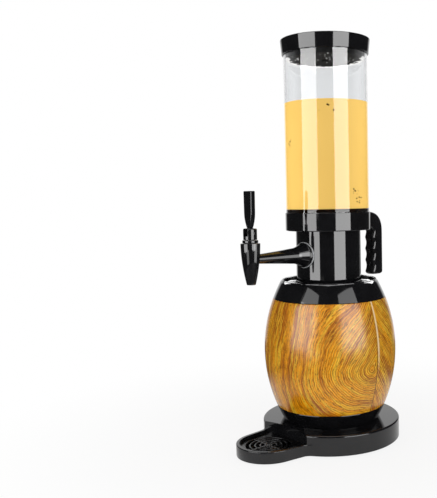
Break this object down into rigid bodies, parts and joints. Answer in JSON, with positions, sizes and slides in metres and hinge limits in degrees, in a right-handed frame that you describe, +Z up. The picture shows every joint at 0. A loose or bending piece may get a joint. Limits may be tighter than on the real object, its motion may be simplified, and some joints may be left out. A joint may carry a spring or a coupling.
{
  "type": "beer tower dispenser",
  "caption": "Tabletop beer tower: clear tube with lid on a black neck with tap lever and finger-groove handle, over a barrel-shaped wooden stand with drip tray.",
  "frame": {"origin": "on the tower's axis at table level, the middle of the underside of the centre pad", "axes": "+Z up along the tower, -Y towards the tap and the drip tray, +Y towards the handle, +X completes the right-handed frame"},
  "size_m": [0.202, 0.2725, 0.58],
  "materials": {
    "gloss_black": "high gloss",
    "satin_black": "satin",
    "rubber_black": "matt",
    "seal_grey": "smooth",
    "steel": "plain",
    "honey_wood": "clear gloss lacquer",
    "clear_plastic": "clear",
    "milky_silicone": "smooth"
  },
  "bodies": {
    "base": {"base_shell": "satin_black", "base_plate": "satin_black", "center_pad": "rubber_black", "foot_right": "rubber_black", "foot_back": "rubber_black", "foot_left": "rubber_black", "tray_foot": "rubber_black", "base_screw_1": "steel", "base_screw_2": "steel", "base_screw_3": "steel", "base_screw_4": "steel", "barrel_foot_ring": "gloss_black", "barrel_sleeve": "honey_wood", "barrel_top_cap": "gloss_black", "tie_bolt": "steel", "tie_washer": "steel", "tie_nut": "steel"},
    "grill": {"drip_grill": "satin_black"},
    "seat": {"seat_ring": "milky_silicone"},
    "column": {"neck": "gloss_black", "collar": "gloss_black", "column_screw_1": "steel", "column_screw_2": "steel", "column_screw_3": "steel", "reservoir_floor": "gloss_black", "tube_seal": "rubber_black", "tube": "clear_plastic", "outlet_hose": "milky_silicone", "handle": "satin_black", "handle_screw_1": "steel", "handle_screw_2": "steel", "tap_body": "gloss_black", "flange_seal": "seal_grey", "tap_shank": "steel", "shank_washer": "rubber_black", "shank_nut": "steel", "bonnet_ring": "gloss_black", "bonnet": "gloss_black", "lever_pin": "steel"},
    "lid": {"lid_cap": "gloss_black", "lid_plug": "gloss_black", "lid_seal": "rubber_black"},
    "lever": {"lever": "gloss_black"},
    "plunger": {"plunger_stem": "steel", "plunger_seal": "rubber_black"}
  },
  "joints": [
    {"name": "grill_lift", "type": "slide", "parent": "base", "child": "grill", "axis": [0, 0, 1], "range_m": [0, 0.03]},
    {"name": "column_swivel", "type": "hinge", "parent": "base", "child": "seat", "pos_m": [0, 0, 0.1953], "axis": [0, 0, 1], "continuous": true},
    {"name": "column_lift", "type": "slide", "parent": "seat", "child": "column", "axis": [0, 0, 1], "range_m": [0, 0.05]},
    {"name": "lid_lift", "type": "slide", "parent": "column", "child": "lid", "axis": [0, 0, 1], "range_m": [0, 0.04]},
    {"name": "lever_tilt", "type": "hinge", "parent": "column", "child": "lever", "pos_m": [0, -0.142, 0.308], "axis": [1, 0, 0], "range_deg": [0, 25]},
    {"name": "plunger_lift", "type": "slide", "parent": "column", "child": "plunger", "axis": [0, 0, 1], "range_m": [0, 0.0035]}
  ],
  "couplings": [
    {"joint": "plunger_lift", "follows": "lever_tilt", "m_per_rad": 0.0069}
  ]
}
